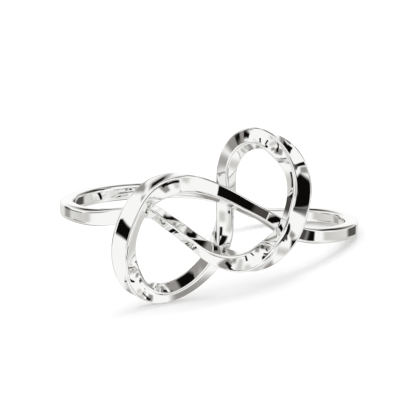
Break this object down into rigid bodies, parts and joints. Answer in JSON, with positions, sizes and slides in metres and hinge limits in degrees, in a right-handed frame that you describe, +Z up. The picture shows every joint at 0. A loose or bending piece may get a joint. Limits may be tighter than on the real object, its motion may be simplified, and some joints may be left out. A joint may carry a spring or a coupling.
{
  "type": "knot ring",
  "caption": "Polished white-metal finger ring: a slim band whose ends run into an open infinity knot of crossing bars at the front.",
  "frame": {"origin": "on the floor under the middle of the ring as it lies on its side", "axes": "+Z up from the floor, -Y towards the front of the ring, where the knot is, +X to the right of the knot"},
  "size_m": [0.0186, 0.0206, 0.0099],
  "materials": {
    "silver": "mirror-polished silver"
  },
  "bodies": {
    "root": {"ring": "silver"}
  },
  "joints": []
}
